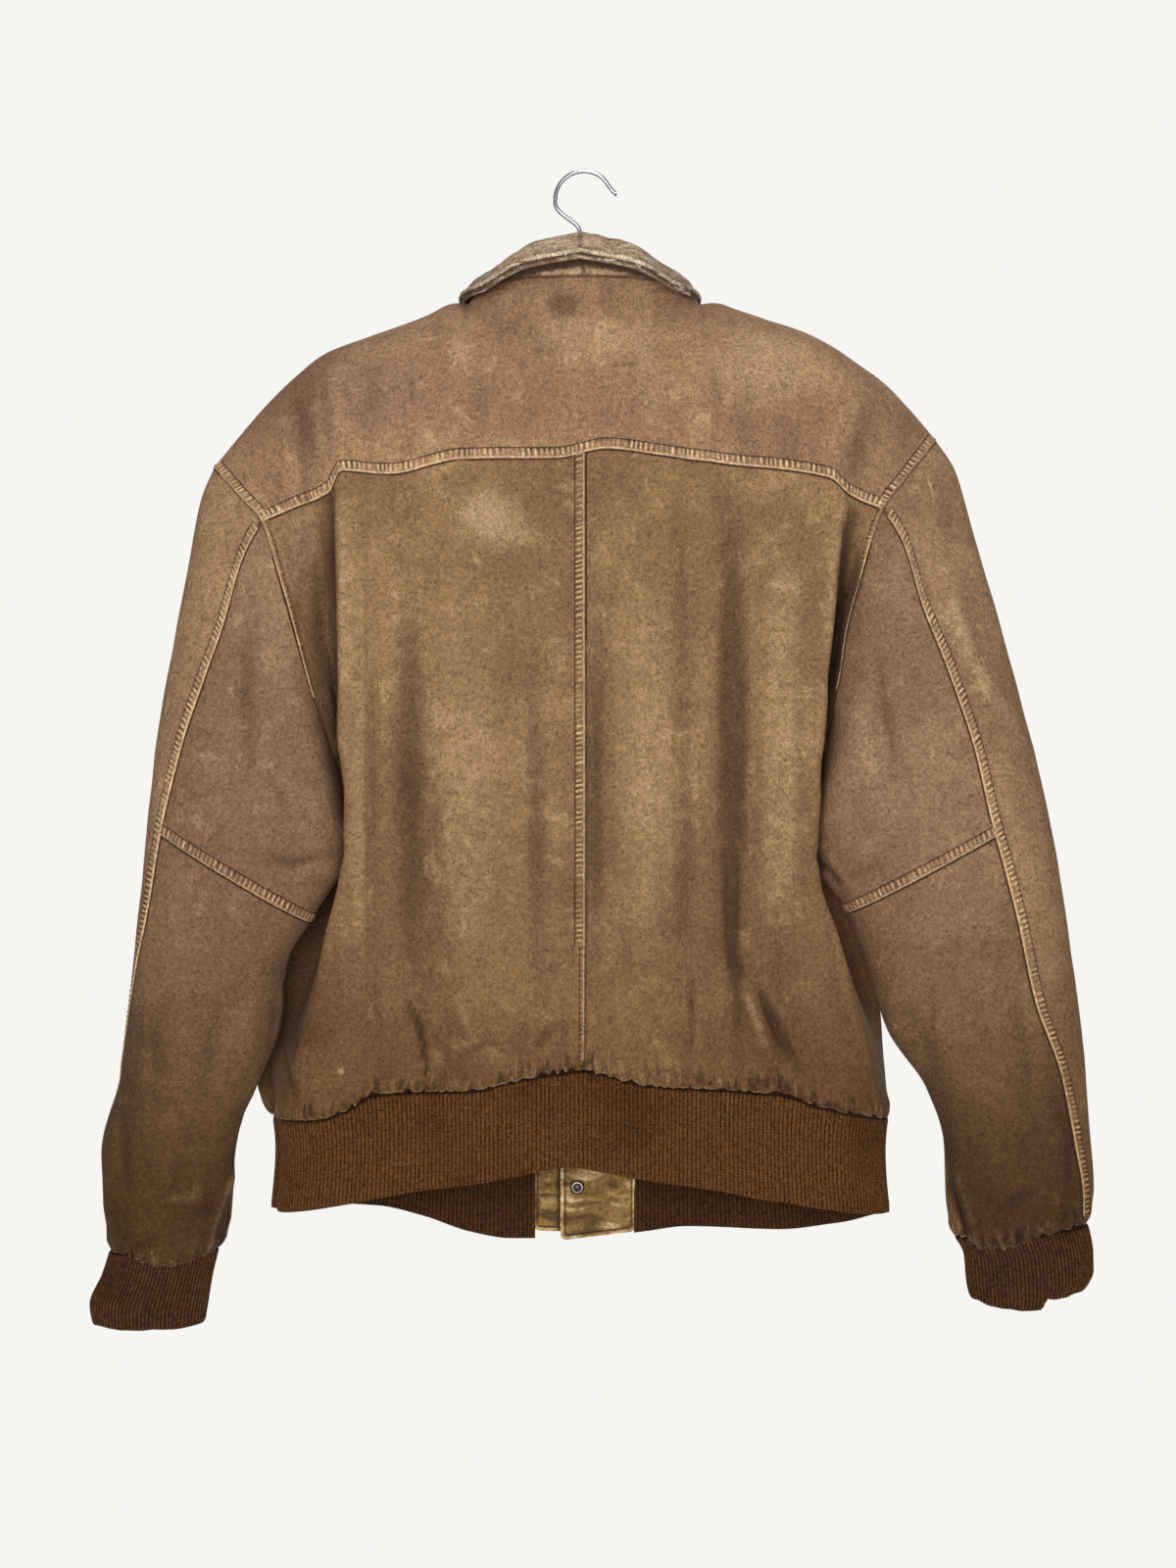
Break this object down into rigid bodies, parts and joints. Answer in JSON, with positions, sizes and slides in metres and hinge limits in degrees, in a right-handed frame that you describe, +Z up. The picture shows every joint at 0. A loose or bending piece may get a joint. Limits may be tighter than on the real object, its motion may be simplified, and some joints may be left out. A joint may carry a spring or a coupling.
{
  "type": "leather jacket on a hanger",
  "caption": "Worn brown leather bomber jacket hanging closed on a plain wire hanger, with a yoked back, folding collar, set-in sleeves, and ribbed knit waistband and cuffs.",
  "frame": {"origin": "inside top of the hanger's hook, where a rod or peg bears", "axes": "+Z up; the back of the jacket faces -Y and its front +Y; +X is the wearer's right, which is the viewer's right from behind"},
  "size_m": [0.7293, 0.152, 0.8446],
  "materials": {
    "leather": "matt worn nubuck, scuffed and creased",
    "knit": "ribbed wool knit",
    "snap_metal": "dark dulled metal",
    "wire": "bright plated wire"
  },
  "bodies": {
    "root": {"back_yoke": "leather", "back_panel_left": "leather", "back_panel_right": "leather", "front_left": "leather", "front_right": "leather", "front_placket": "leather", "sleeve_top_left": "leather", "sleeve_top_right": "leather", "sleeve_under_upper_left": "leather", "sleeve_under_upper_right": "leather", "sleeve_under_lower_left": "leather", "sleeve_under_lower_right": "leather", "collar_stand_left": "leather", "collar_stand_right": "leather", "collar_fall_left": "leather", "collar_fall_right": "leather", "waist_tab_overlap": "leather", "waist_tab_underlap": "leather", "cuff_left": "knit", "cuff_right": "knit", "waistband": "knit", "snap_ring": "snap_metal", "snap_cap": "snap_metal", "placket_snap_1": "snap_metal", "placket_snap_2": "snap_metal", "placket_snap_3": "snap_metal", "placket_snap_4": "snap_metal", "hanger": "wire"}
  },
  "joints": []
}
